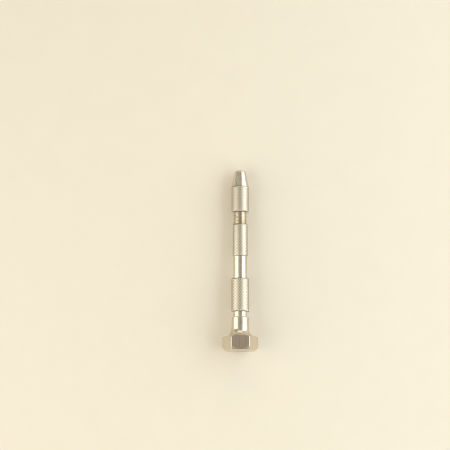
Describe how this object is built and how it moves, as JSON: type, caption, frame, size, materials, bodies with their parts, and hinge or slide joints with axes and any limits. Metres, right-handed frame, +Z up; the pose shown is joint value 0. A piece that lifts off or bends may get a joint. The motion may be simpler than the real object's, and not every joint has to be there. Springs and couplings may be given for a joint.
{
  "type": "pin vise drill",
  "caption": "Slim hand drill chuck: hexagonal swivel palm head, knurled sleeve and grip, and a knurled taper-nosed nut over a split collet.",
  "frame": {"origin": "on the surface it lies on, under the middle of the tool's length and width, with one flat of the hexagonal palm head down", "axes": "+Y along the tool from the palm head to the nose, +Z up from the flat of the hexagon that it lies on, +X across"},
  "size_m": [0.0194, 0.0988, 0.017],
  "materials": {
    "plated_metal": "bright nickel plate over turned and knurled metal",
    "collet_steel": "turned, slotted and hardened tool steel",
    "spring_steel": "drawn spring wire, lightly oiled",
    "bearing_steel": "polished bearing ball"
  },
  "bodies": {
    "handle": {"spindle": "plated_metal"},
    "working_collet": {"working_collet": "collet_steel"},
    "chuck_nut": {"chuck_nut": "plated_metal"},
    "spare_collet": {"spare_collet": "collet_steel"},
    "rear_sleeve": {"rear_sleeve": "plated_metal", "swivel_stem": "plated_metal", "snap_ring": "spring_steel"},
    "swivel_head": {"swivel_head": "plated_metal", "thrust_ball": "bearing_steel"}
  },
  "joints": [
    {"name": "nut_travel", "type": "slide", "parent": "handle", "child": "working_collet", "axis": [0, 1, 0], "range_m": [0, 0.009]},
    {"name": "nut_turn", "type": "hinge", "parent": "working_collet", "child": "chuck_nut", "pos_m": [0, 0.03795, 0.0085], "axis": [0, 1, 0], "range_deg": [0, 4320]},
    {"name": "sleeve_travel", "type": "slide", "parent": "handle", "child": "spare_collet", "axis": [0, -1, 0], "range_m": [0, 0.01275]},
    {"name": "sleeve_turn", "type": "hinge", "parent": "spare_collet", "child": "rear_sleeve", "pos_m": [0, -0.0191, 0.0085], "axis": [0, -1, 0], "range_deg": [0, 6120]},
    {"name": "head_swivel", "type": "hinge", "parent": "rear_sleeve", "child": "swivel_head", "pos_m": [0, -0.04045, 0.0085], "axis": [0, 1, 0], "continuous": true}
  ],
  "couplings": [
    {"joint": "nut_turn", "follows": "nut_travel", "rad_per_m": 8377.6},
    {"joint": "sleeve_turn", "follows": "sleeve_travel", "rad_per_m": 8377.6}
  ]
}
